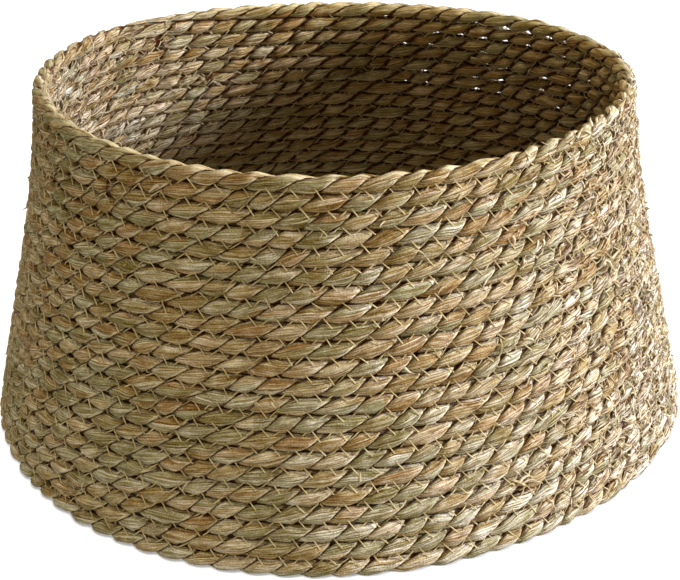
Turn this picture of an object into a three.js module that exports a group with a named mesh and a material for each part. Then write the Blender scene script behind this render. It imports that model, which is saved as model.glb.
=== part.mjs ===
// Christmas tree basket: a round basket without a bottom that stands round the foot of the tree.
// Twisted leaf rope is laid round and round on its edge, each course on the one before, and two threads
// sew every course to the next: one shows outside and one inside. Millimetres, +Z up. The foot stands
// on z = 0 and the middle of the footprint is the origin.

import * as THREE from "three";

// The rope and the wall that it makes
const ROPE_DIAMETER = 12;
const STITCH_SLACK = 0.8; // left between two courses by the sewing
const COURSES = 22;
const RIM_RADIUS = 223; // to the middle of the rope, as are all radii here
const FOOT_RADIUS = 281;
const UPPER_STEEPNESS = 0.3; // how far the wall lags behind a straight cone, as a share of its flare
const LOWER_SWELL = 0.25; // how much more it does so in the upper half than in the lower

// Hand work leaves the rings slightly oval and slightly three-sided. Each has a reach and a direction.
const RIM_OVAL = { reach: 7.3, towards: 12, sides: 2 };
const RIM_TRIANGLE = { reach: 5, towards: 29, sides: 3 };
const FOOT_OVAL = { reach: 5.3, towards: 87, sides: 2 };
const FOOT_TRIANGLE = { reach: 5.2, towards: 11, sides: 3 };

// The rope starts under the foot and ends on the rim at the back left. In a short arc there each
// course climbs onto the one before, and the two ends of the rope thin out under and over the climb.
const SEAM_AZIMUTH = 105;
const CLIMB_ARC = 45;
const THINNEST_TIP = 2;
const FOOT_FLAT = ROPE_DIAMETER / 10; // how deep the standing rope is pressed flat

// The rope is three lengths. Turns are counted up from the seam at the foot, or back from the rim.
const FOOT_ROPE_TURNS = 3 + 13 / 24;
const RIM_ROPE_TURNS = 4 + 23 / 24;
const BUTT_GAP = 0.3; // between the ends of two lengths

// The sewing threads
const THREAD_DIAMETER = 1.4;
const THREAD_CLEARANCE = 0.35;

// Facets
const STEPS_PER_TURN = 24;
const ROPE_SIDES = 6;
const THREAD_SIDES = 3;
const WALL_SAMPLES = 400;
const GAP_SAMPLES = 4; // per step, for the measured gap

const pitch = ROPE_DIAMETER + STITCH_SLACK;
const radians = THREE.MathUtils.degToRad;
const lerp = THREE.MathUtils.lerp;

// Radius of the wall at a share t of the height, from 0 at the rim to 1 at the foot
function bellRadius(t) {
  const lag = t * (1 - t) * (UPPER_STEEPNESS + LOWER_SWELL * (1 - 2 * t));
  return lerp(RIM_RADIUS, FOOT_RADIUS, t - lag);
}

// The wall's length from the foot up to each sample, for a wall of this height
function wallLengths(height) {
  const lengths = [0];
  for (let i = 1; i <= WALL_SAMPLES; i++) {
    const rise = height / WALL_SAMPLES;
    const run = bellRadius(1 - i / WALL_SAMPLES) - bellRadius(1 - (i - 1) / WALL_SAMPLES);
    lengths.push(lengths[i - 1] + Math.hypot(rise, run));
  }
  return lengths;
}

// The height at which the courses, a pitch apart along the wall, just fill it
const wallLength = (COURSES - 1) * pitch;
let wallHeight = wallLength;
let lowest = 0;
for (let i = 0; i < 50; i++) {
  const tried = (lowest + wallHeight) / 2;
  if (wallLengths(tried)[WALL_SAMPLES] > wallLength) wallHeight = tried;
  else lowest = tried;
}
const lengths = wallLengths(wallHeight);

// Share of the height at a length along the wall, counted up from the foot
function shareAt(along) {
  const reach = THREE.MathUtils.clamp(along, 0, wallLength);
  let i = 1;
  while (i < WALL_SAMPLES && lengths[i] < reach) i++;
  const part = (reach - lengths[i - 1]) / (lengths[i] - lengths[i - 1]);
  return 1 - (i - 1 + part) / WALL_SAMPLES;
}

function outOfRound(form, azimuth) {
  return form.reach * Math.cos(form.sides * radians(azimuth - form.towards));
}

// Keeps the footprint's middle on the origin, because a three-sided ring reaches further on one side
const middle = new THREE.Vector3(
  (outOfRound(FOOT_TRIANGLE, 0) - outOfRound(FOOT_TRIANGLE, 180)) / 2,
  (outOfRound(FOOT_TRIANGLE, 90) - outOfRound(FOOT_TRIANGLE, 270)) / 2,
  0,
);

// A point of the wall, at a length along it and a distance out from the middle of the rope
function onWall(azimuth, along, out) {
  const t = shareAt(along);
  const small = 0.01;
  const slope = Math.atan2(bellRadius(t + small) - bellRadius(t - small), 2 * small * wallHeight);
  const rim = outOfRound(RIM_OVAL, azimuth) + outOfRound(RIM_TRIANGLE, azimuth);
  const foot = outOfRound(FOOT_OVAL, azimuth) + outOfRound(FOOT_TRIANGLE, azimuth);
  const past = along - THREE.MathUtils.clamp(along, 0, wallLength);
  const radius = bellRadius(t) + lerp(rim, foot, t) + out * Math.cos(slope) - past * Math.sin(slope);
  const height = (1 - t) * wallHeight + out * Math.sin(slope) + past * Math.cos(slope);
  const a = radians(azimuth);
  const z = ROPE_DIAMETER / 2 - FOOT_FLAT + height;
  return new THREE.Vector3(radius * Math.cos(a), radius * Math.sin(a), Math.max(z, 0)).sub(middle);
}

// How far a course has climbed onto the one before, a part of a turn after the seam
function climbed(partTurn) {
  return THREE.MathUtils.smoothstep((partTurn * 360) / CLIMB_ARC, 0, 1);
}

// The middle and the height of the rope, along the wall, after so many turns. The first arc fills the
// room below the climb and the last arc the room above it, so foot and rim are level.
function ropeLie(turns) {
  const course = Math.floor(turns + 1e-9);
  const climb = climbed(turns - course);
  if (course === 0) {
    const room = Math.min(ROPE_DIAMETER, climb * pitch - STITCH_SLACK);
    return { along: (room - ROPE_DIAMETER) / 2, height: room };
  }
  if (course >= COURSES) {
    const room = Math.min(ROPE_DIAMETER, (1 - climb) * pitch - STITCH_SLACK);
    return { along: (COURSES - 1) * pitch + (ROPE_DIAMETER - room) / 2, height: room };
  }
  return { along: (course - 1 + climb) * pitch, height: ROPE_DIAMETER };
}

// The rope's section is six-sided. Its flats face the neighbouring courses and its corners face out
// and in, and it is as wide as gives it the area of the round rope.
const flatHalf = ROPE_DIAMETER / 2;
const cornerOut = (Math.PI * flatHalf * flatHalf) / (3 * flatHalf);
const flatEdgeOut = cornerOut / 2;

function ropeRing(turns) {
  const { along, height } = ropeLie(turns);
  const thin = height / ROPE_DIAMETER;
  const width = cornerOut * Math.sqrt(thin);
  const ring = [];
  for (let side = 0; side < ROPE_SIDES; side++) {
    const a = (side / ROPE_SIDES) * 2 * Math.PI;
    const up = (Math.sin(a) / Math.sin(Math.PI / 3)) * flatHalf * thin;
    ring.push(onWall(SEAM_AZIMUTH + turns * 360, along + up, width * Math.cos(a)));
  }
  return ring;
}

// The thread lies in the groove between two courses, clear of both by the clearance
const threadReach = THREAD_DIAMETER * Math.sqrt(Math.PI / 4 / (1.5 * Math.sin(Math.PI / 3)));
const grooveRun = cornerOut - flatEdgeOut;
const grooveSide = Math.hypot(grooveRun, flatHalf);
const threadOut =
  flatEdgeOut + threadReach + (THREAD_CLEARANCE * grooveSide - (STITCH_SLACK / 2) * grooveRun) / flatHalf;

function threadRing(turns, face) {
  const along = ropeLie(turns).along - pitch / 2;
  const ring = [];
  for (let side = 0; side < THREAD_SIDES; side++) {
    const a = Math.PI + (face * side * 2 * Math.PI) / THREAD_SIDES;
    const out = face * (threadOut + threadReach * Math.cos(a));
    ring.push(onWall(SEAM_AZIMUTH + turns * 360, along + threadReach * Math.sin(a), out));
  }
  return ring;
}

// One unbroken tube through the rings, closed by a flat face at each end
function tube(rings) {
  const sides = rings[0].length;
  const positions = rings.flat().flatMap((p) => [p.x, p.y, p.z]);
  const index = [];
  for (let i = 0; i + 1 < rings.length; i++) {
    for (let j = 0; j < sides; j++) {
      const a = i * sides + j;
      const b = i * sides + ((j + 1) % sides);
      index.push(a, a + sides, b + sides, a, b + sides, b);
    }
  }
  const last = (rings.length - 1) * sides;
  for (let j = 1; j + 1 < sides; j++) {
    index.push(0, j, j + 1);
    index.push(last, last + j + 1, last + j);
  }
  const geometry = new THREE.BufferGeometry();
  geometry.setAttribute("position", new THREE.Float32BufferAttribute(positions, 3));
  geometry.setIndex(index);
  geometry.computeVertexNormals();
  return geometry;
}

// Turn counts from one end of a stretch to the other, with every facet's edge between them
function turnSteps(from, to) {
  const steps = [from];
  for (let i = Math.floor(from * STEPS_PER_TURN + 1e-3) + 1; i / STEPS_PER_TURN < to - 1e-4; i++) {
    steps.push(i / STEPS_PER_TURN);
  }
  steps.push(to);
  return steps;
}

// The rope's two tips lie where the room beside the climb has grown to the thinnest tip
let firstStep = 1;
while (ropeLie(firstStep / STEPS_PER_TURN).height < THINNEST_TIP) firstStep++;
const ropeStart = firstStep / STEPS_PER_TURN;
let lastStep = COURSES * STEPS_PER_TURN;
while (ropeLie((lastStep + 1) / STEPS_PER_TURN).height >= THINNEST_TIP) lastStep++;
const ropeEnd = lastStep / STEPS_PER_TURN;

function buttTurns(along) {
  return BUTT_GAP / 2 / (2 * Math.PI * bellRadius(shareAt(along)));
}
const footJoin = FOOT_ROPE_TURNS;
const rimJoin = COURSES - RIM_ROPE_TURNS;
const footButt = buttTurns(footJoin * pitch);
const rimButt = buttTurns(rimJoin * pitch);

const ropeMaterial = new THREE.MeshStandardMaterial({ color: 0xa8946a, roughness: 0.85, metalness: 0 });
const threadMaterial = new THREE.MeshStandardMaterial({ color: 0xd8c79c, roughness: 0.6, metalness: 0 });

const basket = new THREE.Group();

const ropes = {
  foot_rope: [ropeStart, footJoin - footButt],
  wall_rope: [footJoin + footButt, rimJoin - rimButt],
  rim_rope: [rimJoin + rimButt, ropeEnd],
};
for (const [name, [from, to]] of Object.entries(ropes)) {
  const rope = new THREE.Mesh(tube(turnSteps(from, to).map(ropeRing)), ropeMaterial);
  rope.name = name;
  basket.add(rope);
}

const sewnFrom = 1 + CLIMB_ARC / 360;
const threads = { outer_thread: 1, inner_thread: -1 };
for (const [name, face] of Object.entries(threads)) {
  const rings = turnSteps(sewnFrom, COURSES).map((turns) => threadRing(turns, face));
  const thread = new THREE.Mesh(tube(rings), threadMaterial);
  thread.name = name;
  basket.add(thread);
}

// The least gap from the rope to its own next course, measured on points along its edges
function ropePoints() {
  const rings = turnSteps(ropeStart, ropeEnd).map(ropeRing);
  const points = [];
  for (let i = 0; i + 1 < rings.length; i++) {
    for (let k = 0; k < GAP_SAMPLES; k++) {
      points.push(rings[i].map((p, j) => p.clone().lerp(rings[i + 1][j], k / GAP_SAMPLES)));
    }
  }
  return points;
}
const samples = ropePoints();
const turnSamples = STEPS_PER_TURN * GAP_SAMPLES;
let leastGap = Infinity;
let ropeLength = 0;
for (let i = 0; i < samples.length; i++) {
  if (i > 0) ropeLength += samples[i][0].distanceTo(samples[i - 1][0]);
  for (let n = turnSamples - GAP_SAMPLES; n <= turnSamples + GAP_SAMPLES; n++) {
    if (i + n >= samples.length) break;
    for (const p of samples[i]) {
      for (const q of samples[i + n]) leastGap = Math.min(leastGap, p.distanceTo(q));
    }
  }
}
console.log("least gap of the rope to itself " + leastGap.toFixed(2) + " mm");
console.log("rope " + (ropeLength / 1000).toFixed(1) + " m, wall " + wallHeight.toFixed(1) + " mm high");

export default basket;
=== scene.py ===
"""Christmas tree basket: a round basket without a bottom, coiled from twisted leaf rope.

The rope has two strands. It lies on its edge in 22 courses, and two threads sew each course to the next
with a zigzag. Metres, +Z up, the foot on z = 0 and the front towards -Y.
"""

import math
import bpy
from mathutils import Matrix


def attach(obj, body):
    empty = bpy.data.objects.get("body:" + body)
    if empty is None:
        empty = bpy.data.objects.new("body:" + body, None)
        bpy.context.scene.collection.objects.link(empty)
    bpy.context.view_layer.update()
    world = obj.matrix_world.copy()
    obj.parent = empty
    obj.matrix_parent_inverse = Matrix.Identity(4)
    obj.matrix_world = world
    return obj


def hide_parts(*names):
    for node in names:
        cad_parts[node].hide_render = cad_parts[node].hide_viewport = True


bl_info = {
    "name": "Christmas tree basket",
    "version": (1, 0, 0),
    "blender": (4, 5, 0),
    "location": "3D View > Sidebar > Basket",
    "description": "A coiled leaf-rope basket that hides a tree stand, with its sewing and a plain stage",
    "category": "Add Mesh",
}

import bpy
import numpy as np
from mathutils import Vector

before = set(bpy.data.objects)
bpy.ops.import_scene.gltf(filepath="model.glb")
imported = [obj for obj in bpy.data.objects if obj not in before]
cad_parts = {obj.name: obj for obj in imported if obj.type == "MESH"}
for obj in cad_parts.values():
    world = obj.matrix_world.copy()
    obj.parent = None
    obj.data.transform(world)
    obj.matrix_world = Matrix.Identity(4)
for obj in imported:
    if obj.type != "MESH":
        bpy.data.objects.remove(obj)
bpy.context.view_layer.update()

MM = 0.001
TAU = 2 * math.pi

# The rope's lie, as the solid rope has it. Radii go to the rope's middle, and turns count from the seam
ROPE = 12 * MM
SLACK = 0.8 * MM
PITCH = ROPE + SLACK
COURSES = 22
RIM_RADIUS = 223 * MM
FOOT_RADIUS = 281 * MM
STEEPNESS = 0.3
SWELL = 0.25
SEAM_AZIMUTH = 105
CLIMB_ARC = 45
ROPE_START = 1 / 24
# The last taper goes on for 7 degrees past the solid rope, down to a point
ROPE_END = COURSES + 2 / 24 + 7 / 360
FOOT_JOIN = 3 + 13 / 24
RIM_JOIN = 17 + 1 / 24
SEWN_FROM = 1 + CLIMB_ARC / 360
# Reach, azimuth of the furthest point and number of sides of each ring's departure from round
RIM_FORMS = ((7.3 * MM, 12, 2), (5 * MM, 29, 3))
FOOT_FORMS = ((5.3 * MM, 87, 2), (5.2 * MM, 11, 3))
WALL_LENGTH = (COURSES - 1) * PITCH
# The course that the basket stands on is pressed flat, so the first rope middle is this high
FIRST_MIDDLE = ROPE / 2 - ROPE / 10
# Half the height that a strand fills once it is sewn, a little more than its share of the wall
FILLED = PITCH / 2 + 0.5 * MM
# Samples of the wall's profile, of the rope's middle line and of the groove between the courses
PROFILE_SHARES = np.linspace(0, 1, 401)
TABLE_TURNS = np.linspace(ROPE_START, ROPE_END, 16001)
STITCH_TURNS = np.linspace(SEWN_FROM, COURSES, 30001)


def running_total(steps):
    """Sum of the steps before each point of a line, from 0."""
    return np.concatenate([[0], np.cumsum(steps)])


def line_lengths(points):
    """Length of a line up to each of its points: the sum of the chords."""
    return running_total(np.linalg.norm(np.diff(points, axis=0), axis=1))


def eased(part):
    """S-shaped ease from 0 to 1."""
    return part * part * (3 - 2 * part)


def unit(vectors):
    """Vectors of the same directions, one metre long."""
    return vectors / np.linalg.norm(vectors, axis=-1, keepdims=True)


def uv_grid(run, across):
    """Map of a tube's rings: metres along the leaf and turns round it."""
    return np.stack(np.broadcast_arrays(run, across), axis=-1)


def bell_radius(t):
    """Radius at a share t of the height, 0 at the rim and 1 at the foot: a straight cone less a lag that
    is zero at both ends, t(1 - t), and larger in the upper half."""
    lag = t * (1 - t) * (STEEPNESS + SWELL * (1 - 2 * t))
    return RIM_RADIUS + (FOOT_RADIUS - RIM_RADIUS) * (t - lag)


def wall_lengths(height):
    """Length of the wall's profile from the foot up to each sample: the sum of the chords."""
    drop = np.diff(PROFILE_SHARES) * height
    return running_total(np.hypot(drop, np.diff(bell_radius(1 - PROFILE_SHARES))))


def wall_height():
    """Height whose profile is as long as the courses need, found by halving the range 50 times."""
    low, high = 0, WALL_LENGTH
    for _ in range(50):
        tried = (low + high) / 2
        if wall_lengths(tried)[-1] > WALL_LENGTH:
            high = tried
        else:
            low = tried
    return high


HEIGHT = wall_height()
PROFILE = wall_lengths(HEIGHT)


def out_of_round(forms, azimuth):
    """Sum of reach times the cosine of sides times the angle from the form's furthest point."""
    total = 0
    for reach, towards, sides in forms:
        total = total + reach * np.cos(np.radians(sides * (azimuth - towards)))
    return total


def off_centre():
    """How far the three-sided foot pushes its own middle off the axis, in X and Y."""
    forms = FOOT_FORMS[1:]
    x = (out_of_round(forms, 0) - out_of_round(forms, 180)) / 2
    y = (out_of_round(forms, 90) - out_of_round(forms, 270)) / 2
    return np.array([x, y, 0])


OFF_CENTRE = off_centre()


def on_wall(azimuth, along, out):
    """Point at an azimuth in degrees, a length along the wall's profile and a distance out from it,
    square to the profile. The radius is the bell's, with the out-of-round of rim and foot mixed in."""
    inside = np.clip(along, 0, WALL_LENGTH)
    t = 1 - np.interp(inside, PROFILE, PROFILE_SHARES)
    step = 0.01
    slope = np.arctan2(bell_radius(t + step) - bell_radius(t - step), 2 * step * HEIGHT)
    rim = out_of_round(RIM_FORMS, azimuth)
    foot = out_of_round(FOOT_FORMS, azimuth)
    past = along - inside
    radius = bell_radius(t) + rim + (foot - rim) * t + out * np.cos(slope) - past * np.sin(slope)
    height = (1 - t) * HEIGHT + out * np.sin(slope) + past * np.cos(slope)
    angle = np.radians(azimuth)
    z = np.maximum(FIRST_MIDDLE + height, 0)
    return np.stack([radius * np.cos(angle), radius * np.sin(angle), z], axis=-1) - OFF_CENTRE


def rope_lie(turns):
    """Length along the wall, and the height left for the rope, after so many turns from the seam. A
    course is level but for an eased climb of one pitch after the seam. The first and last arcs fill
    the room beside the climb."""
    course = np.floor(turns + 1e-9)
    climb = eased(np.clip((turns - course) * 360 / CLIMB_ARC, 0, 1))
    along = (course - 1 + climb) * PITCH
    room = np.full_like(along, ROPE)
    below = np.clip(climb * PITCH - SLACK, 0, ROPE)
    above = np.clip((1 - climb) * PITCH - SLACK, 0, ROPE)
    first = course < 1
    last = course >= COURSES
    along = np.where(first, (below - ROPE) / 2, along)
    along = np.where(last, WALL_LENGTH + (ROPE - above) / 2, along)
    room = np.where(first, below, room)
    room = np.where(last, above, room)
    return along, room


def azimuth_of(turns):
    """Azimuth in degrees: the coil runs counter-clockwise from the seam, seen from above."""
    return SEAM_AZIMUTH + 360 * turns


TABLE_LENGTHS = line_lengths(on_wall(azimuth_of(TABLE_TURNS), rope_lie(TABLE_TURNS)[0], 0))


def length_at(turns):
    """Length of rope from its start up to a turn count."""
    return np.interp(turns, TABLE_TURNS, TABLE_LENGTHS)


def turns_at(lengths):
    """Turn count at a length of rope from its start."""
    return np.interp(lengths, TABLE_LENGTHS, TABLE_TURNS)


def wander(seed, where, step):
    """Random heights from -1 to 1, one each step, joined by an S-shaped ease."""
    cells = np.maximum(where / step, 0)
    first = np.floor(cells).astype(int)
    heights = np.random.default_rng(seed).uniform(-1, 1, int(np.max(first)) + 2)
    ease = eased(cells - first)
    return heights[first] * (1 - ease) + heights[first + 1] * ease


def lay_angle(lengths, size):
    """Angle of the first strand round the rope's middle: one turn each lay, less or more by a slow
    wander, as a hand-turned rope has. The sewing bunches it: the turn is quicker where a groove faces
    out and slower where a strand does, by a sine of twice the angle."""
    slow = 0.3 * wander(11, lengths, 0.4) + 0.17 * wander(12, lengths, 0.045)
    even = TAU * (lengths / size.lay + slow)
    return even - size.lay_bunching / 2 * np.sin(2 * even)


def stitch_phase(turns, size):
    """Count of stitches up to a turn of the groove: its length over the spacing, and a small wander."""
    lengths = length_at(np.minimum(turns, TABLE_TURNS[-1]))
    return lengths / size.stitch_spacing + 0.25 * wander(31, lengths, 0.05)


# Where in its spacing a stitch's slanting run has its middle, and how far its tight thread dents the rope
STITCH_MIDDLE = 0.25
DENT_REACH = 1.5 * MM
# How far out from the wall's middle the slanting run lies at its five bends and the way back lies, how much
# further that comes out where it shows, and how much deeper the inner thread lies
STITCH_OUT = np.array([2.4, 5.6, 5.4, 5.6, 2.4]) * MM
RETURN_OUT = 2.7 * MM
RETURN_SHOWN = 2.4 * MM
INNER_SINK = 1.6 * MM
# How far the zigzag's corners stray, and how deep a stitch lies that the leaves have closed over
CORNER_SHIFT = 0.9 * MM
BURIED = 2.2 * MM


def stitch_bends(size):
    """Where in its spacing a stitch's slanting run starts, bends over the upper course, has its middle,
    bends over the lower course and ends."""
    half = size.stitch_run / size.stitch_spacing / 2
    return STITCH_MIDDLE + np.array([-half, 0.05 - half, 0, half - 0.05, half])


def stitch_dent(turns, along, size):
    """How much the tight thread draws the rope in: a dome over the distance to the nearest slanting
    stitch in the groove above and the groove below."""
    dent = 0
    middle, _ = rope_lie(turns)
    run = size.stitch_run / 2
    rise = size.stitch_rise / 2
    for above in (0, 1):
        phase = stitch_phase(turns + above, size)
        x = (phase - np.floor(phase) - STITCH_MIDDLE) * size.stitch_spacing
        y = along - middle + PITCH * (0.5 - above)
        share = np.clip((x * run - y * rise) / (run**2 + rise**2), -1, 1)
        apart = np.hypot(x - share * run, y + share * rise)
        dent = dent + np.exp(-((apart / DENT_REACH) ** 2))
    return dent


# Angles of a strand's points from its thickest place, as shares of the quarter turn to the rope's middle,
# on which the tenth lies
STRAND_DEGREES = [0, 13, 26, 39, 51, 62, 71, 78, 84, 90, -84, -78, -71, -62, -51, -39, -26, -13]
STRAND_SHARES = np.array([STRAND_DEGREES]) / 90
# Folded leaves and ribs round a strand, and the share of a turn that they make in it each lay
LEAVES_ROUND = 5
RIBS_ROUND = 11
LEAF_TWIST = 0.76
# Values kept at each point of the rope for its material: how much painted shade and dust it takes, most deep
# in a groove, where across the strand from -1 to 1, how hard a course presses it, which paints shade along
# the course lines, how frayed it is, and how much painted highlight it has on top of the rim and painted
# shade on the inside
FIELDS = ("groove_shade", "strand_side", "pressed", "frayed", "rim_top_highlight", "painted_inside_shade")
# Azimuth that the most frayed faces look towards, how far round from there others are frayed, in degrees,
# and the share by which the inside is
RAGGED_AZIMUTH = -8
RAGGED_REACH = 50
RAGGED_INSIDE = 0.7
# Where the rope gapes: turn count, how long the gap is and the share by which the strands shrink there.
# The first two are the joins of the three lengths of rope, whose tapered ends are tucked together
GAPES = (
    (FOOT_JOIN, 9 * MM, 0.5),
    (RIM_JOIN, 9 * MM, 0.4),
    (1.385, 8 * MM, 0.35),
    (1.339, 6 * MM, 0.3),
    (18.283, 7 * MM, 0.45),
    (19.335, 5 * MM, 0.45),
    (20.079, 8 * MM, 0.5),
)


def gape(lengths):
    """Share by which the rope is thinner at a length: a bell curve round each gape."""
    thinner = 0
    for turns, reach, share in GAPES:
        thinner = thinner + share * np.exp(-(((lengths - length_at(turns)) / reach) ** 2))
    return thinner


def looseness(turns):
    """Share by which the upper courses at the back right are loosely filled, so that light shows through:
    all within 15 degrees of azimuth 50 and none 40 away, times a ramp over courses 15 and 16, broken up
    every 20 mm."""
    azimuth = np.mod(azimuth_of(turns), 360)
    area = np.clip(1.6 - np.abs(azimuth - 50) / 25, 0, 1) * np.clip(turns / 2 - 7.5, 0, 1)
    return area * np.clip(0.75 + wander(26, length_at(turns), 0.02), 0, 1)


def raggedness(turns, inside):
    """Share by which the leaves have split and frayed, a bell curve of the azimuth that a face looks
    towards: most at the right of the outside, and across from it at the left of the inside."""
    towards = np.mod(azimuth_of(turns) + 180 * inside - RAGGED_AZIMUTH, 360)
    apart = np.minimum(towards, 360 - towards) / RAGGED_REACH
    return np.exp(-(apart**2))


def freedom(turns, upward):
    """Share by which no course lies against the rope: 1 on top of the rim course and under the course
    that stands on the floor, with a ramp where the next course climbs on or off."""
    return np.where(upward, np.clip(10 * turns - 211, 0, 1), np.clip(26.5 - 25 * turns, 0, 1))


def strand_fall(facing, upright, free, size):
    """How a strand's reach falls off from its thickest place to nothing at the groove on either side:
    (1 - x^n)^(1/n), with a lower n where the strand is free to be round, faces in or looks up or down."""
    loose = np.maximum(free * np.clip(1.3 * upright, 0, 1), 0.7 * np.clip(-facing, 0, 1))
    loose = np.maximum(loose, 0.65 * upright**3)
    power = size.plumpness + (size.free_plumpness - size.plumpness) * loose
    return np.clip(1 - np.abs(STRAND_SHARES) ** power, 0, 1) ** (1 / power)


def sewn_stretch(up, facing, free, turns):
    """How far sewing stretches a strand up and down, until the course is filled: a power of the room over
    the strand's own height, lower where the strand faces out or in and in the loosely filled courses."""
    highest = np.max(np.abs(up), axis=1, keepdims=True)
    yields = np.where(facing < 0, 0.8, 0.6) * np.clip(1.6 * np.abs(facing), 0, 1)
    squeeze = 1 - yields * (1 - (up / highest) ** 4)
    stretch = (FILLED / highest) ** np.clip(squeeze - looseness(turns), 0, 1)
    return stretch + (1 - stretch) * free


def strand_surface(lengths, strand, size):
    """Rings of one strand, which fills half of the rope and turns round its middle once a lay. The reach
    from the rope's middle is full at the strand's thickest place and shrinks where the rope gapes. On it
    lie the folded leaves, humps with a sharp valley between and fine ribs, which turn the other way, so
    that they run along the rope. Sewing then stretches the strand up and down and dents it."""
    turns = turns_at(lengths)[:, None]
    along, room = rope_lie(turns)
    s = lengths[:, None]
    seed = 100 * strand
    lay = lay_angle(s, size)
    # By turns one strand takes more than its half of the rope
    share = 0.13 * wander(25, s, 0.04) * (1 - 2 * strand)
    angle = STRAND_SHARES * math.pi / 2 * (1 + share)
    turned = lay + math.pi * strand + angle
    facing = np.cos(turned)
    upright = np.abs(np.sin(turned))
    inside = facing < 0
    free = freedom(turns, np.sin(turned) > 0)
    fall = strand_fall(facing, upright, free, size)
    gaping = gape(s)

    # Where the leaves are torn, and how far out the strand and the leaves on it reach
    ragged = raggedness(turns, inside) * np.where(inside, RAGGED_INSIDE, 1)
    torn = np.clip(1.5 * ragged - 0.4 + 0.6 * wander(seed + 28, s, 0.02), 0, 1)
    uneven = 0.05 * wander(seed + 21, s, 0.03) + 0.2 * torn * wander(seed + 27, s, 0.007)
    reach = size.rope_reach * (1 + uneven + 0.5 * share - gaping) * fall
    leaf_turn = angle / TAU + LEAF_TWIST * lay / TAU + 0.12 * wander(seed + 23, s, 0.05)
    hump = np.abs(np.cos(LEAVES_ROUND / 2 * TAU * leaf_turn)) - 0.6
    rib = np.cos(TAU * (RIBS_ROUND * leaf_turn + 0.6 * wander(seed + 24, s, 0.04)))
    relief = size.leaf_relief * ((1 + torn) * hump + (0.3 + torn) * rib) * (1 - upright**6) * fall

    # The sewing stretches the strand up and down, and each tight stitch dents it
    up = reach * np.sin(turned)
    stretch = sewn_stretch(up, facing, free, turns)
    pressed = np.abs(up * stretch) / FILLED * np.clip(1 - 2 * free, 0, 1)
    out = (reach + relief) * facing
    up = (up + relief * np.sin(turned)) * stretch
    dent = stitch_dent(turns, along + up, size)
    out = out - np.sign(out) * size.stitch_dent * dent * np.clip(np.abs(out) / (3 * MM), 0, 1)
    thin = room / ROPE
    points = on_wall(azimuth_of(turns), along + up * thin, out * np.sqrt(thin))

    # What the material reads
    across = np.concatenate([leaf_turn, leaf_turn[:, :1]], axis=1) + 7.3 * strand
    uv = uv_grid(s + 50 * strand, across)
    # Painted shade over the inside faces away from the key lamp, but for the ragged ones: browner, with
    # wider dark grooves and course lines
    painted_inside_shade = np.clip(-2 * facing, 0, 1) * (1 - ragged / RAGGED_INSIDE)
    # Painted shade and dust deep in the grooves, in the rope's gapes and over torn leaves, wider on the
    # inside
    depth = np.maximum(1 - fall, np.clip(2 * gaping - 0.35, 0, 0.6))
    depth = np.maximum(depth, 0.41 * torn) + 0.22 * painted_inside_shade * (1 - 0.8 * free)
    side = np.broadcast_to(STRAND_SHARES, depth.shape)
    # Painted highlight on the upward face of the rim course
    rim_top_highlight = free * np.clip(2.5 * np.sin(turned) - 1.3, 0, 1)
    values = (depth, side, pressed + 0.09 * painted_inside_shade, ragged, rim_top_highlight, painted_inside_shade)
    return points, uv, dict(zip(FIELDS, values))


def core_surface(lengths):
    """Rings of the leaves twisted into the rope's middle, which show in the grooves, dark with painted
    shade: an ellipse as tall as the course and 6.4 mm thick, lower where the course is loosely filled."""
    turns = turns_at(lengths)[:, None]
    along, room = rope_lie(turns)
    angle = np.radians([90, 30, -30, -90, -150, 150])[None, :]
    thin = room / ROPE
    free = freedom(turns, np.sin(angle) > 0)
    tall = FILLED * (1 - 0.4 * looseness(turns)) * (1 - 0.4 * free)
    out = 3.2 * MM * np.cos(angle) * np.sqrt(thin)
    points = on_wall(azimuth_of(turns), along + tall * np.sin(angle) * thin, out)
    uv = uv_grid(lengths[:, None], np.linspace(0, 1, 7)[None, :])
    none = np.zeros(points.shape[:2])
    return points, uv, dict.fromkeys(FIELDS, none) | {"groove_shade": none + 0.5}


# Loose leaf ends: turn count, angle round the rope in degrees (0 out, 90 up, 180 in), how many, their
# length and their width. They stand where a length of rope ends or gapes
FRAYS = (
    (ROPE_END - 0.012, 100, 8, 17 * MM, 1.8 * MM),
    (ROPE_END - 0.03, 150, 6, 12 * MM, 1.5 * MM),
    (FOOT_JOIN, 5, 10, 13 * MM, 2.4 * MM),
    (RIM_JOIN, 175, 12, 12 * MM, 1.5 * MM),
    (1.385, 0, 7, 10 * MM, 1.2 * MM),
    (1.339, 20, 6, 9 * MM, 1.2 * MM),
    (18.283, 0, 9, 11 * MM, 1.4 * MM),
    (20.079, 170, 6, 9 * MM, 1.4 * MM),
    (21.572, 85, 2, 6 * MM, 1.4 * MM),
    (21.722, 30, 4, 9 * MM, 1.0 * MM),
)
# Splinters tried over the wall, of which those on ragged leaf are kept, and the steps along each
SPLINTERS = 22000
FRAY_STEPS = 5


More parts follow.
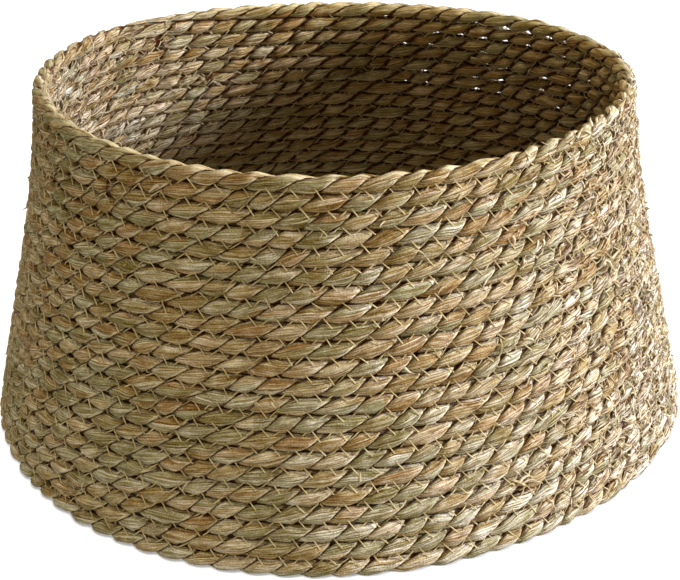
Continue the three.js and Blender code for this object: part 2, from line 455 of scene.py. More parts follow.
def scattered_frays():
    """Start, angle round the rope, heading, length, width, lift and curl of each loose leaf end: those of
    FRAYS, then splinters and hairs strewn over the wall, more of them where it is ragged."""
    random = np.random.default_rng(51)
    rows = []
    for turns, angle, count, length, width in FRAYS:
        start = length_at(turns) + random.normal(0, 3.5 * MM, count)
        round_rope = np.radians(angle + random.normal(0, 25, count))
        heading = random.uniform(-0.6, 0.9, count) + math.pi * (random.random(count) < 0.3)
        lift = random.uniform(0.2, 2, count) * MM
        row = (start, round_rope, heading, length * random.uniform(0.6, 1.2, count))
        rows.append(row + (width * random.uniform(0.5, 1.2, count), lift, random.normal(0, 0.6, count)))
    count = SPLINTERS
    turns = random.uniform(1, COURSES, count)
    inside = random.random(count) < 0.4
    kept = random.random(count) < 0.01 + 0.7 * raggedness(turns, inside) ** 2
    hair = random.random(count) < 0.2
    start = length_at(turns)
    round_rope = np.radians(random.uniform(-70, 70, count) + 180 * inside)
    heading = random.normal(0.45, 0.7, count) + math.pi * (random.random(count) < 0.5)
    length = np.where(hair, random.uniform(4, 11, count), random.uniform(5, 12, count)) * MM
    width = np.where(hair, 0.6, random.uniform(1, 3, count)) * MM
    lift = np.where(hair, random.uniform(1, 5, count), random.uniform(0.6, 3.2, count)) * MM
    curl = random.normal(0, 1.1, count)
    rows.append([values[kept] for values in (start, round_rope, heading, length, width, lift, curl)])
    return [np.concatenate(values) for values in zip(*rows)]


def fray_tubes(size):
    """Rings of four points round each loose leaf end. It starts in the leaf, goes over the rope at a
    heading that turns at a steady rate, rises as the square of the share of its length, and narrows."""
    start, round_rope, heading, length, width, lift, curl = (each[:, None] for each in scattered_frays())
    t = np.linspace(0, 1, FRAY_STEPS + 1)[None, :]
    bend = heading + curl * (t[:, :-1] - 0.5)
    none = np.zeros_like(start)
    run = np.concatenate([none, np.cumsum(np.cos(bend), axis=1)], axis=1) * length / FRAY_STEPS
    rise = np.concatenate([none, np.cumsum(np.sin(bend), axis=1)], axis=1) * length / FRAY_STEPS
    turns = turns_at(start + run)
    along, room = rope_lie(turns)
    thin = room / ROPE
    angle = round_rope + rise / size.rope_reach
    away = size.rope_reach + 0.7 * MM + lift * t**2 - 1.5 * MM * (1 - t) ** 4
    up = np.sin(angle) * thin
    out = np.cos(angle) * np.sqrt(thin)
    middle = on_wall(azimuth_of(turns), along + away * up, away * out)
    outward = unit(on_wall(azimuth_of(turns), along + (away + MM) * up, (away + MM) * out) - middle)
    side = unit(np.cross(np.gradient(middle, axis=1), outward))
    half = (width / 2 * (1 - 0.85 * t**2))[..., None]
    corners = [middle + half * side, middle + 0.3 * half * outward]
    corners += [middle - half * side, middle - 0.3 * half * outward]
    points = np.stack(corners, axis=2)
    across = np.arange(len(points))[:, None, None] + 0.2 * np.arange(5)
    uv = uv_grid((start + run)[..., None], across)
    return [(points[i], uv[i], {}) for i in range(len(points))]


def tube_faces(rings, sides, first):
    """Quads of a tube, whose ring i and point j is vertex first + i sides + j, and its two end faces."""
    i, j = np.meshgrid(np.arange(rings - 1), np.arange(sides), indexing="ij")
    a = first + i * sides + j
    b = first + i * sides + (j + 1) % sides
    quads = np.stack([a, b, b + sides, a + sides], axis=-1).reshape(-1, 4)
    start = first + np.arange(sides)[::-1]
    end = first + (rings - 1) * sides + np.arange(sides)
    return quads, start, end


def volume_sign(points):
    """Sign of a tube's volume: its middle ring runs one way round the path, or the other."""
    ring = points[len(points) // 2]
    ahead = points[len(points) // 2 + 1].mean(0) - ring.mean(0)
    around = np.cross(ring - ring.mean(0), np.roll(ring, -1, axis=0) - ring.mean(0)).sum(0)
    return np.sign(np.dot(around, ahead))


def tubes_object(name, tubes, material):
    """One object of many tubes. Each tube is its points, a grid of rings by points round, its uv, and its
    fields, grids of values by the attribute's name."""
    corners = []
    counts = []
    caps = []
    vertices = []
    uvs = []
    values = {}
    first = 0
    for points, uv, fields in tubes:
        if volume_sign(points) > 0:
            uv = uv[:, ::-1]
            points = np.roll(points[:, ::-1], 1, axis=1)
            fields = {key: np.roll(grid[:, ::-1], 1, axis=1) for key, grid in fields.items()}
        rings, sides = points.shape[:2]
        quads, start, end = tube_faces(rings, sides, first)
        corners += [quads.ravel(), start, end]
        caps += [start, end]
        counts += [np.full(len(quads), 4), [sides], [sides]]
        vertices.append(points.reshape(-1, 3))
        for key, grid in fields.items():
            values.setdefault(key, []).append(grid.ravel())
        each = np.stack([uv[:-1, :-1], uv[:-1, 1:], uv[1:, 1:], uv[1:, :-1]], axis=2)
        uvs += [each.reshape(-1, 2), uv[0, :-1][::-1], uv[-1, :-1]]
        first += rings * sides
    corners = np.concatenate(corners).astype(np.int32)
    counts = np.concatenate(counts).astype(np.int32)
    mesh = bpy.data.meshes.new(name)
    mesh.vertices.add(first)
    mesh.vertices.foreach_set("co", np.concatenate(vertices).astype(np.float32).ravel())
    mesh.loops.add(len(corners))
    mesh.loops.foreach_set("vertex_index", corners)
    mesh.polygons.add(len(counts))
    mesh.polygons.foreach_set("loop_start", running_total(counts[:-1]).astype(np.int32))
    mesh.polygons.foreach_set("use_smooth", counts == 4)
    layer = mesh.uv_layers.new(name="along_leaf")
    layer.data.foreach_set("uv", np.concatenate(uvs).astype(np.float32).ravel())
    for key, grids in values.items():
        attribute = mesh.attributes.new(key, "FLOAT", "POINT")
        attribute.data.foreach_set("value", np.concatenate(grids).astype(np.float32))
    mesh.update(calc_edges=True)
    ends = np.empty(len(mesh.edges) * 2, np.int32)
    mesh.edges.foreach_get("vertices", ends)
    capped = np.zeros(first, bool)
    capped[np.concatenate(caps)] = True
    sharp = capped[ends.reshape(-1, 2)].all(axis=1)
    mesh.attributes.new("sharp_edge", "BOOLEAN", "EDGE").data.foreach_set("value", sharp)
    if mesh.validate():
        raise RuntimeError(name + " has faulty faces")
    mesh.materials.append(material)
    made = bpy.data.objects.new(name, mesh)
    bpy.context.scene.collection.objects.link(made)
    return made


def linear(hex_colour):
    """Linear colour of an sRGB hex value such as 8a7b4e."""
    channels = [int(hex_colour[i : i + 2], 16) / 255 for i in (0, 2, 4)]
    return [c / 12.92 if c <= 0.04045 else ((c + 0.055) / 1.055) ** 2.4 for c in channels] + [1]


def add_node(tree, kind, settings=None, inputs=None):
    """Adds a node with its settings and inputs. An input is a value, the output that feeds it, or a node
    whose first output feeds it."""
    node = tree.nodes.new(kind)
    for name, value in (settings or {}).items():
        setattr(node, name, value)
    for key, value in (inputs or {}).items():
        if isinstance(value, bpy.types.Node):
            value = value.outputs[0]
        if isinstance(value, bpy.types.NodeSocket):
            tree.links.new(value, node.inputs[key])
        else:
            node.inputs[key].default_value = value
    return node


def add_math(tree, operation, *values):
    """Adds the node that works out one operation on its values."""
    return add_node(tree, "ShaderNodeMath", {"operation": operation}, dict(enumerate(values)))


def add_range(tree, value, start, end, low=0.0, high=1.0):
    """Adds the node that turns start to end into low to high, and holds those beyond."""
    return add_node(tree, "ShaderNodeMapRange", inputs=dict(enumerate((value, start, end, low, high))))


def add_noise(tree, dimensions, at, scale, detail, roughness=0.5):
    """Adds a noise texture, about 0.5, read at a vector."""
    inputs = {"Vector": at, "Scale": scale, "Detail": detail, "Roughness": roughness}
    return add_node(tree, "ShaderNodeTexNoise", {"noise_dimensions": dimensions}, inputs)


def add_streaks(tree, place, per_metre, per_turn, detail, roughness=0.5):
    """Adds noise with so many cells a metre along the leaf and a turn round the strand."""
    x = add_math(tree, "MULTIPLY", place["X"], per_metre)
    y = add_math(tree, "MULTIPLY", place["Y"], per_turn)
    at = add_node(tree, "ShaderNodeCombineXYZ", inputs={"X": x, "Y": y})
    return add_noise(tree, "2D", at, 1.0, detail, roughness)


def add_ramp(tree, tone, *stops):
    """Adds the ramp that turns a tone into a colour, with its (place, linear colour) stops."""
    node = add_node(tree, "ShaderNodeValToRGB", inputs={0: tone})
    elements = node.color_ramp.elements
    while len(elements) < len(stops):
        elements.new(0.5)
    for element, (place, colour) in zip(elements, stops):
        element.position = place
        element.color = colour
    return node


def add_mix(tree, share, under, over, blend="MIX"):
    """Adds a share of one colour over another, and returns the output."""
    settings = {"data_type": "RGBA", "blend_type": blend}
    return add_node(tree, "ShaderNodeMix", settings, {0: share, 6: under, 7: over}).outputs[2]


def add_field(tree, name):
    """Adds the node that reads a value kept at the points, and returns its output."""
    return add_node(tree, "ShaderNodeAttribute", {"attribute_name": name}).outputs["Fac"]


def new_material(name):
    """An empty material and its tree."""
    material = bpy.data.materials.new(name)
    material.use_nodes = True
    material.node_tree.nodes.clear()
    return material, material.node_tree


def leaf_place(tree):
    """Outputs X, metres along the leaf, and Y, turns round the strand, from the piece's own map."""
    uv = add_node(tree, "ShaderNodeUVMap", {"uv_map": "along_leaf"})
    return add_node(tree, "ShaderNodeSeparateXYZ", inputs={0: uv}).outputs


def add_surface(tree, colour, roughness, specular, relief, strength, depth):
    """Ends a material with its shader, bumped by a relief of this depth in metres."""
    inputs = {"Strength": strength, "Distance": depth, "Height": relief}
    bump = add_node(tree, "ShaderNodeBump", inputs=inputs)
    inputs = {"Base Color": colour, "Roughness": roughness, "Specular IOR Level": specular, "Normal": bump}
    shader = add_node(tree, "ShaderNodeBsdfPrincipled", inputs=inputs)
    add_node(tree, "ShaderNodeOutputMaterial", inputs={"Surface": shader})


def leaf_material(colours):
    """Dried leaf, twisted into rope: matt, with a faint sheen along the fibres. Each folded leaf has a
    tone of its own between olive, straw, sage and russet, fine veins along it and a thin pale edge of
    painted highlight."""
    material, tree = new_material("dried_leaf_twisted")
    place = leaf_place(tree)

    # Five leaves lie round a strand of 40 mm girth, so each shows 8 mm of its width, and it shows for
    # 0.3 m or so before another takes its place
    band = add_math(tree, "MULTIPLY_ADD", place["Y"], LEAVES_ROUND, 0.5)
    leaf = add_math(tree, "FLOOR", band)
    within = add_math(tree, "FRACT", band)
    spell = add_math(tree, "MULTIPLY", leaf, 0.37)
    spell = add_math(tree, "FLOOR", add_math(tree, "MULTIPLY_ADD", place["X"], 3.2, spell))
    identity = add_node(tree, "ShaderNodeCombineXYZ", inputs={"X": leaf, "Y": spell})
    own = add_node(tree, "ShaderNodeTexWhiteNoise", {"noise_dimensions": "2D"}, {"Vector": identity})
    own = add_node(tree, "ShaderNodeSeparateColor", inputs={0: own.outputs["Color"]}).outputs

    # Veins 0.9 mm apart and 40 mm long, patches of 4 by 14 mm and grain of 1.2 mm
    veins = add_streaks(tree, place, 25.0, 46.0, 3.0, 0.6)
    patches = add_streaks(tree, place, 70.0, 9.0, 2.0, 0.6)
    grain = add_streaks(tree, place, 800.0, 34.0, 1.0, 0.6)

    # Cross cells of the leaf, 1.9 mm apart, show on about every third leaf
    rungs = add_math(tree, "SINE", add_math(tree, "MULTIPLY", place["X"], TAU / (1.9 * MM)))
    rungs = add_math(tree, "MULTIPLY", rungs, add_range(tree, own[2], 0.6, 0.8))

    # Tone from dark to pale: the leaf's own, then each pattern's share
    tone = add_math(tree, "MULTIPLY_ADD", own[0], 0.27, 0.355)
    for pattern, share in ((veins, 1.35), (patches, 0.62), (grain, 0.45)):
        tone = add_math(tree, "MULTIPLY_ADD", add_math(tree, "SUBTRACT", pattern, 0.5), share, tone)
    tone = add_math(tree, "MULTIPLY_ADD", rungs, 0.02, tone)
    # The lower courses are paler, and the frayed leaves, on the sides that face the key lamp, are paler too:
    # painted light
    where = add_node(tree, "ShaderNodeTexCoord").outputs["Object"]
    height = add_node(tree, "ShaderNodeSeparateXYZ", inputs={0: where}).outputs["Z"]
    tone = add_math(tree, "ADD", tone, add_range(tree, height, 0.27, 0.0, -0.04, 0.1))
    frayed = add_field(tree, "frayed")
    tone = add_math(tree, "MULTIPLY_ADD", frayed, 0.16, tone)
    # The painted shade of the inside also raises its leaf's tone, a painted highlight beside its wider dark
    # grooves
    painted_inside_shade = add_field(tree, "painted_inside_shade")
    tone = add_math(tree, "MULTIPLY_ADD", painted_inside_shade, 0.08, tone)
    shade = (0.0, colours.leaf_shade)
    pale = (1.0, colours.leaf_pale)
    straw = ((0.25, colours.straw_dark), (0.5, colours.straw), (0.75, colours.straw_light))
    straw = add_ramp(tree, tone, shade, *straw, pale)
    sage = add_ramp(tree, tone, shade, (0.3, colours.sage_dark), (0.6, colours.sage), pale)
    russet = add_ramp(tree, tone, shade, (0.3, colours.russet_dark), (0.6, colours.russet), pale)

    # Leaves of one bundle lie near each other, so the hue also changes every 70 mm or so of the wall,
    # and the lower courses have dried greener
    near = add_noise(tree, "3D", where, 15.0, 1.0)
    hue = add_math(tree, "ADD", add_range(tree, near, 0.35, 0.65, -0.12, 0.12), own[1])
    hue = add_math(tree, "ADD", hue, add_range(tree, height, 0.16, 0.0, 0.0, 0.14))
    colour = add_mix(tree, add_range(tree, hue, 0.56, 0.82, 0.0, 0.75), straw, sage)
    colour = add_mix(tree, add_range(tree, hue, 0.4, 0.12, 0.0, 0.5), colour, russet)

    # Leaves have split along their veins, into strips 2 mm wide with a dark line of painted shade between,
    # most where frayed
    crack_shade = add_math(tree, "SUBTRACT", add_streaks(tree, place, 45.0, 22.0, 1.0), 0.5)
    crack_shade = add_range(tree, add_math(tree, "ABSOLUTE", crack_shade), 0.08, 0.01)
    crack_shade = add_math(tree, "MULTIPLY", crack_shade, add_range(tree, frayed, 0.0, 0.6, 0.4, 1.0))
    # A painted highlight 0.7 mm wide where some leaves' edges are folded over the next, and a painted shade
    # line beneath it
    folded = add_range(tree, own[2], 0.6, 0.4, 0.0, 0.5)
    fold_highlight = add_math(tree, "MULTIPLY", add_range(tree, within, 0.88, 0.94), folded)
    under = add_range(tree, within, 0.08, 0.0, 0.0, 0.85)
    # A painted highlight in places on the folded lower edge of a strand and on top of the rim
    edge = add_range(tree, add_field(tree, "strand_side"), -0.68, -0.76)
    edge = add_math(tree, "MAXIMUM", edge, add_field(tree, "rim_top_highlight"))
    edge_highlight = add_math(tree, "MULTIPLY", edge, add_range(tree, patches, 0.35, 0.65, 0.0, 0.85))
    # Painted shade and dust gather in patches where the strands meet, and where the courses touch
    deep = add_math(tree, "MULTIPLY_ADD", patches, -0.4, add_field(tree, "groove_shade"))
    deep = add_range(tree, deep, 0.15, 0.35, 0.0, 0.95)
    deep = add_math(tree, "MAXIMUM", deep, add_range(tree, add_field(tree, "pressed"), 0.84, 0.93, 0.0, 0.9))
    layers = (
        (fold_highlight, colours.fold_highlight),
        (under, colours.leaf_shade),
        (crack_shade, colours.leaf_shade),
        (edge_highlight, colours.fold_highlight),
        (deep, colours.groove),
    )
    for share, over in layers:
        colour = add_mix(tree, share, colour, over)
    # Inside, away from the light, the leaf is tinted browner: painted shade
    colour = add_mix(tree, painted_inside_shade, colour, colours.painted_inside_shade, "MULTIPLY")

    relief = add_math(tree, "MULTIPLY_ADD", grain, 0.5, veins)
    relief = add_math(tree, "MULTIPLY_ADD", rungs, 0.06, relief)
    add_surface(tree, colour, add_range(tree, veins, 0.3, 0.7, 0.5, 0.72), 0.06, relief, 1.0, 0.6 * MM)
    return material


def fibre_material(colours):
    """Torn leaf fibre: the pale, dull inside of the leaf, each splinter of its own tone, with streaks
    3 mm long."""
    material, tree = new_material("torn_leaf_fibre")
    place = leaf_place(tree)
    number = add_math(tree, "FLOOR", place["Y"])
    own = add_node(tree, "ShaderNodeTexWhiteNoise", {"noise_dimensions": "1D"}, {"W": number})
    streaks = add_streaks(tree, place, 330.0, 1.0, 2.0)
    tone = add_math(tree, "MULTIPLY_ADD", own.outputs["Value"], 0.45, streaks)
    stops = ((0.3, colours.straw_dark), (0.55, colours.straw), (0.9, colours.straw_light))
    add_surface(tree, add_ramp(tree, tone, *stops), 0.75, 0.1, streaks, 0.6, 0.2 * MM)
    return material


def thread_material(colours):
    """Waxed sewing thread, twisted: pale straw, a little glossier than the leaf, with its twist 1.1 mm
    apart as fine slanting lines."""
    material, tree = new_material("sewing_thread_waxed")
    place = leaf_place(tree)
    ply = add_math(tree, "MULTIPLY_ADD", place["X"], 1 / (1.1 * MM), place["Y"])
    ply = add_math(tree, "SINE", add_math(tree, "MULTIPLY", ply, TAU))
    where = add_node(tree, "ShaderNodeTexCoord").outputs["Object"]
    tone = add_math(tree, "MULTIPLY_ADD", ply, 0.1, add_noise(tree, "3D", where, 90.0, 2.0))
    stops = ((0.25, colours.thread_dark), (0.5, colours.thread), (0.75, colours.thread_pale))
    add_surface(tree, add_ramp(tree, tone, *stops), 0.5, 0.5, ply, 0.7, 0.2 * MM)
    return material


def shared_material(name, maker):
    """The material of this name, made the first time that it is asked for."""
    return bpy.data.materials.get(name) or maker(bpy.context.scene.basket_colours)


def zigzag_path(phases, face, size):
    """A thread's zigzag over its groove. Round each stitch's middle it runs down to the right over both
    courses, then back up, sunk between them, and it dips in at each corner. Every corner is moved a
    little, and some of the stitches lie slack or sunk."""
    part = phases - np.floor(phases)
    whole = np.floor(phases).astype(int)
    turns = np.interp(phases, stitch_phase(STITCH_TURNS, size), STITCH_TURNS)
    bends = stitch_bends(size)
    left, right = bends[[0, -1]]
    random = np.random.default_rng(41 + int(face > 0))
    count = int(whole.max()) + 3
    rise = size.stitch_rise / 2
    tops = rise + random.normal(0, 1, count) * CORNER_SHIFT
    feet = -rise + random.normal(0, 1, count) * CORNER_SHIFT
    slack = random.normal(0, 0.25, count) * MM - BURIED * (random.random(count) < 0.1)
    shown = random.random(count) < 0.6
    returned = (part - right) / (1 - right + left)
    down = tops[whole] + (feet[whole] - tops[whole]) * np.clip((part - left) / (right - left), 0, 1)
    up = feet[whole] + (tops[whole + 1] - feet[whole]) * returned
    heights = np.where(part > right, up, down)
    straight = np.interp(part, bends, STITCH_OUT)
    sunk = RETURN_OUT + RETURN_SHOWN * shown[whole] * np.sin(np.pi * np.clip(returned, 0, 1))
    out = np.where(part > right, sunk, straight + slack[whole]) - INNER_SINK * (face < 0)
    along, _ = rope_lie(turns)
    return turns, along - PITCH / 2 + heights, face * out


def thread_rings(face, size):
    """Rings of five points round a thread's path: the path plus the thread's radius times the cosine
    along the wall's outside and the sine along its height."""
    from_phase = math.ceil(float(stitch_phase(np.array([SEWN_FROM]), size)[0]))
    to_phase = math.floor(float(stitch_phase(np.array([COURSES - 0.001]), size)[0])) - 1
    bends = stitch_bends(size)
    left, right = bends[[0, -1]]
    # The way back bends near both ends and in its middle
    places = np.concatenate([bends, [right + 0.1, (left + right + 1) / 2, left + 0.92]])
    phases = (np.arange(from_phase, to_phase)[:, None] + places[None, :]).ravel()
    turns, along, out = zigzag_path(phases, face, size)
    middle = on_wall(azimuth_of(turns), along, out)
    ahead = unit(np.gradient(middle, axis=0))
    outward = on_wall(azimuth_of(turns), along, out + MM) - middle
    outward = unit(outward - ahead * (outward * ahead).sum(1)[:, None])
    side = np.cross(ahead, outward)
    angle = (np.arange(5) / 5 * TAU)[None, :, None]
    around = np.cos(angle) * outward[:, None] + np.sin(angle) * side[:, None]
    points = middle[:, None] + size.thread / 2 * around
    return points, uv_grid(line_lengths(middle)[:, None], np.linspace(0, 1, 6)[None, :]), {}


def number_property(name, description, default, **settings):
    """A number that a user may change."""
    return bpy.props.FloatProperty(name=name, description=description, default=default, **settings)


def length_property(name, description, millimetres):
    """A length that a user may change, with its default in millimetres."""
    return number_property(name, description, millimetres * MM, unit="LENGTH", precision=4)


def colour_property(name, description, hex_colour):
    """A colour that a user may change, with its sRGB hex value as the default."""
    return bpy.props.FloatVectorProperty(
        name=name, description=description, default=linear(hex_colour), subtype="COLOR", size=4, min=0, max=1
    )


class BasketSizes(bpy.types.PropertyGroup):
    """Sizes of the rope's strands and of the sewing."""

    lay: length_property("Lay", "Length of rope in which a strand turns once", 44.5)
    rope_reach: length_property("Rope reach", "From the rope's middle to a strand's thickest place", 6.6)
    plumpness: number_property("Plumpness", "Low for round strands, high for narrow grooves", 3.0)
    free_plumpness: number_property("Free plumpness", "The same where no course presses", 2.0)
    lay_bunching: number_property("Lay bunching", "Share by which sewing speeds and slows the twist", 0.45)
    leaf_relief: length_property("Leaf relief", "Height of a folded leaf over the valley beside it", 0.4)
    thread: length_property("Thread", "Diameter of the sewing thread", 1.0)
    stitch_spacing: length_property("Stitch spacing", "From one slanting stitch to the next", 16.5)
    stitch_run: length_property("Stitch run", "Length of a slanting stitch along the groove", 7.0)
    stitch_rise: length_property("Stitch rise", "Height of a slanting stitch across the groove", 8.2)
    stitch_dent: length_property("Stitch dent", "How deep a tight stitch draws the rope in", 0.7)
    ring_step: length_property("Step", "From one ring of a strand's surface to the next", 2.4)


class BasketColours(bpy.types.PropertyGroup):
    """Colours of the leaf and of the thread."""

    # Leaf shade also paints the shade lines in the split leaves and beneath folded edges
    leaf_shade: colour_property("Leaf shade", "The darkest streaks of every leaf", "4a2803")
    leaf_pale: colour_property("Leaf pale", "The palest streaks of every leaf", "f3e8da")
    straw_dark: colour_property("Straw, dark", "Dark streaks of most leaves", "85662c")
    straw: colour_property("Straw", "Most leaves", "a99164")
    straw_light: colour_property("Straw, light", "Light streaks of most leaves", "cebd9d")
    sage_dark: colour_property("Sage, dark", "Dark streaks of the leaves dried green", "7a6f3c")
    sage: colour_property("Sage", "Leaves dried green", "9f9d7c")
    russet_dark: colour_property("Russet, dark", "Dark streaks of the leaves dried brown", "90653a")
    russet: colour_property("Russet", "Leaves dried brown", "b9966f")
    # Colour of the painted highlights on folded edges, on strands' lower edges and on the rim top
    fold_highlight: colour_property("Fold", "Pale edge where a leaf folds over", "e6d8b4")
    # Colour of the painted shade and dust in the grooves, along the course lines and on the rope's middle
    groove: colour_property("Groove", "Dust and shade between the strands", "401600")
    # Tint of the painted shade on the inside
    painted_inside_shade: colour_property("Painted inside shade", "Tint over the shaded side of the inside", "fff4d4")
    thread_dark: colour_property("Thread, dark", "Dark stretches of the sewing thread", "8e7444")
    thread: colour_property("Thread", "The sewing thread", "bfa874")
    thread_pale: colour_property("Thread, pale", "Pale stretches of the sewing thread", "dccb9b")


class BasketStage(bpy.types.PropertyGroup):
    """Lamps, background and camera."""

    key_power: number_property("Key lamp", "Power of the soft lamp at the right, in watts", 149)
    fill_power: number_property("Fill lamps", "Power of each low, wide lamp, in watts", 14.5)
    top_power: number_property("Top lamp", "Power of the lamp overhead, in watts", 22)
    sky: number_property("Sky", "Strength of the even light from all round", 0.18)
    sky_tint: colour_property("Sky tint", "Colour of the even light", "ffe8c6")
    warm: colour_property("Warm light", "Colour of the top lamp and most fill lamps", "faf3d6")
    left_tint: colour_property("Left light", "Colour of the fill lamp at the left", "f3f5dc")
    cool: colour_property("Cool light", "Colour of the key lamp", "ebf1ff")
    lens: number_property("Lens", "Focal length of the camera, in millimetres", 99.1)


def rope_pieces(node, start, end, count, size):
    """Splits a length of rope into pieces of equal length and makes an object of each."""
    material = shared_material("dried_leaf_twisted", leaf_material)
    limits = np.linspace(length_at(start), length_at(end), count + 1)
    for number in range(count):
        steps = max(2, round((limits[number + 1] - limits[number]) / size.ring_step))
        lengths = np.linspace(limits[number], limits[number + 1], steps + 1)
        tubes = [strand_surface(lengths, strand, size) for strand in (0, 1)]
        tubes.append(core_surface(np.linspace(limits[number], limits[number + 1], steps // 2 + 1)))
        piece = tubes_object(f"{node}_strands_{number + 1}", tubes, material)
        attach(piece, "root")
        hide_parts(node)


class BASKET_OT_rope(bpy.types.Operator):
    """Makes the twisted rope of the foot, the wall and the rim"""

    bl_idname = "basket.rope"
    bl_label = "Rope"

    def execute(self, context):
        size = context.scene.basket_sizes
        rope_pieces("foot_rope", ROPE_START, FOOT_JOIN, 2, size)
        rope_pieces("wall_rope", FOOT_JOIN, RIM_JOIN, 4, size)
        rope_pieces("rim_rope", RIM_JOIN, ROPE_END, 2, size)
        return {"FINISHED"}


class BASKET_OT_fraying(bpy.types.Operator):
    """Makes the loose leaf ends"""

    bl_idname = "basket.fraying"
    bl_label = "Fraying"

    def execute(self, context):
        material = shared_material("torn_leaf_fibre", fibre_material)
        piece = tubes_object("loose_leaf_ends", fray_tubes(context.scene.basket_sizes), material)
        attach(piece, "root")
        return {"FINISHED"}


class BASKET_OT_sewing(bpy.types.Operator):
    """Makes the zigzag of stitches outside and inside"""

    bl_idname = "basket.sewing"
    bl_label = "Sewing"

    def execute(self, context):
        size = context.scene.basket_sizes
        material = shared_material("sewing_thread_waxed", thread_material)
        for node, face in (("outer_thread", 1), ("inner_thread", -1)):
            piece = tubes_object(f"{node}_zigzag", [thread_rings(face, size)], material)
            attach(piece, "root")
            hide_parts(node)
        return {"FINISHED"}


def make_floor():
    """White paper under the basket, 8 m square, which keeps the basket's shadow. Its own glow keeps it
    white to the viewer, but for the 3 mm next to the foot, where ambient occlusion dims it into a painted
    contact shadow."""
    mesh = bpy.data.meshes.new("floor")
    mesh.from_pydata([(-4, -4, 0), (4, -4, 0), (4, 4, 0), (-4, 4, 0)], [], [(0, 1, 2, 3)])
    floor = bpy.data.objects.new("floor", mesh)
    bpy.context.scene.collection.objects.link(floor)
    material, tree = new_material("white_paper")
    rays = add_node(tree, "ShaderNodeLightPath").outputs
    seen = add_math(tree, "MAXIMUM", rays["Is Camera Ray"], rays["Is Glossy Ray"])
    seen = add_math(tree, "MAXIMUM", seen, rays["Is Transmission Ray"])
    # Painted contact shadow: the glow dims where the foot is within 3 mm
    near = add_node(tree, "ShaderNodeAmbientOcclusion", inputs={"Distance": 3 * MM}).outputs["AO"]
    seen = add_math(tree, "MULTIPLY", seen, add_range(tree, near, 0.4, 0.9, 0.35, 0.985))
    paper = add_node(tree, "ShaderNodeBsdfDiffuse", inputs={"Color": linear("a8a8a8")})
    glow = add_node(tree, "ShaderNodeEmission", inputs={"Color": (1, 1, 1, 1), "Strength": seen})
    both = add_node(tree, "ShaderNodeAddShader", inputs={0: paper, 1: glow})
    add_node(tree, "ShaderNodeOutputMaterial", inputs={"Surface": both})
    mesh.materials.append(material)


def make_world(stage):
    """White to the viewer, and a weak, warm, even light to everything else."""
    world = bpy.data.worlds.new("soft_white")
    world.use_nodes = True
    bpy.context.scene.world = world
    tree = world.node_tree
    tree.nodes.clear()
    rays = add_node(tree, "ShaderNodeLightPath").outputs
    seen = add_math(tree, "MAXIMUM", rays["Is Camera Ray"], rays["Is Transmission Ray"])
    strength = add_range(tree, seen, 0.0, 1.0, stage.sky, 1.0)
    tint = add_mix(tree, seen, stage.sky_tint, (1, 1, 1, 1))
    sky = add_node(tree, "ShaderNodeBackground", inputs={"Color": tint, "Strength": strength})
    add_node(tree, "ShaderNodeOutputWorld", inputs={"Surface": sky})


def make_lamps(stage):
    """A cool key lamp at the right, and weak warm lamps round the basket and over it."""
    aim = Vector((0, 0, 0.12))
    fill = stage.fill_power
    # Name, place, width and height of each lamp, its power and its colour
    lamps = (
        ("key", (2.52, -0.3, 1.02), 0.7, 0.6, stage.key_power, stage.cool),
        ("fill_front", (0.8, -2.6, 0.3), 2.4, 0.5, 1.6 * fill, stage.warm),
        ("fill_left", (-2.3, -1.3, 0.3), 0.9, 0.5, fill, stage.left_tint),
        ("top", (-0.1, -0.1, 2.4), 0.7, 0.7, stage.top_power, stage.warm),
        ("fill_back", (-0.8, 2.6, 0.3), 2.4, 0.5, fill, stage.warm),
        ("fill_right", (2.4, 1.4, 0.3), 2.4, 0.5, fill, stage.warm),
    )
    for name, place, width, height, power, colour in lamps:
        lamp = bpy.data.lights.new(name, "AREA")
        lamp.shape = "RECTANGLE"
        lamp.size = width
        lamp.size_y = height
        lamp.energy = power
        lamp.color = colour[:3]
        holder = bpy.data.objects.new(name, lamp)
        holder.location = place
        holder.rotation_euler = (aim - holder.location).to_track_quat("-Z", "Y").to_euler()
        holder.visible_camera = False
        bpy.context.scene.collection.objects.link(holder)


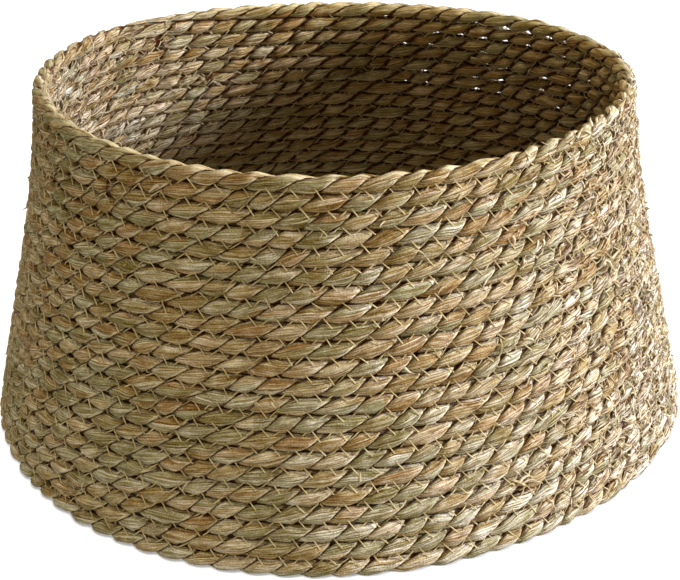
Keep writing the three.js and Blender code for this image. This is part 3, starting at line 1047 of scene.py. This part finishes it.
def make_camera(stage):
    """The camera where the photo's stood, which looks down by 24 degrees."""
    camera = bpy.data.cameras.new("camera")
    camera.sensor_width = 36
    camera.lens = stage.lens
    viewer = bpy.data.objects.new("camera", camera)
    viewer.location = (0.0003, -1.4034, 0.7222)
    viewer.rotation_euler = (math.radians(90 - 24.26), 0, 0)
    bpy.context.scene.collection.objects.link(viewer)
    bpy.context.scene.camera = viewer


class BASKET_OT_stage(bpy.types.Operator):
    """Makes the floor, the world, the lamps and the camera"""

    bl_idname = "basket.stage"
    bl_label = "Stage"

    def execute(self, context):
        stage = context.scene.basket_stage
        make_floor()
        make_world(stage)
        make_lamps(stage)
        make_camera(stage)
        context.scene.view_settings.view_transform = "Standard"
        return {"FINISHED"}


class BASKET_PT_panel(bpy.types.Panel):
    """Lists the basket's sizes and makers."""

    bl_idname = "BASKET_PT_panel"
    bl_label = "Basket"
    bl_space_type = "VIEW_3D"
    bl_region_type = "UI"
    bl_category = "Basket"

    def draw(self, context):
        scene = context.scene
        for group in (scene.basket_sizes, scene.basket_colours, scene.basket_stage):
            for name in group.__annotations__:
                self.layout.prop(group, name)
        for maker in MAKERS:
            self.layout.operator(maker.bl_idname)


MAKERS = (BASKET_OT_rope, BASKET_OT_fraying, BASKET_OT_sewing, BASKET_OT_stage)
CLASSES = (BasketSizes, BasketColours, BasketStage) + MAKERS + (BASKET_PT_panel,)


def register():
    for each in CLASSES:
        bpy.utils.register_class(each)
    bpy.types.Scene.basket_sizes = bpy.props.PointerProperty(type=BasketSizes)
    bpy.types.Scene.basket_colours = bpy.props.PointerProperty(type=BasketColours)
    bpy.types.Scene.basket_stage = bpy.props.PointerProperty(type=BasketStage)


def unregister():
    del bpy.types.Scene.basket_stage
    del bpy.types.Scene.basket_colours
    del bpy.types.Scene.basket_sizes
    for each in reversed(CLASSES):
        bpy.utils.unregister_class(each)


def main():
    register()
    bpy.ops.basket.rope()
    bpy.ops.basket.fraying()
    bpy.ops.basket.sewing()
    bpy.ops.basket.stage()


if __name__ == "__main__":
    main()
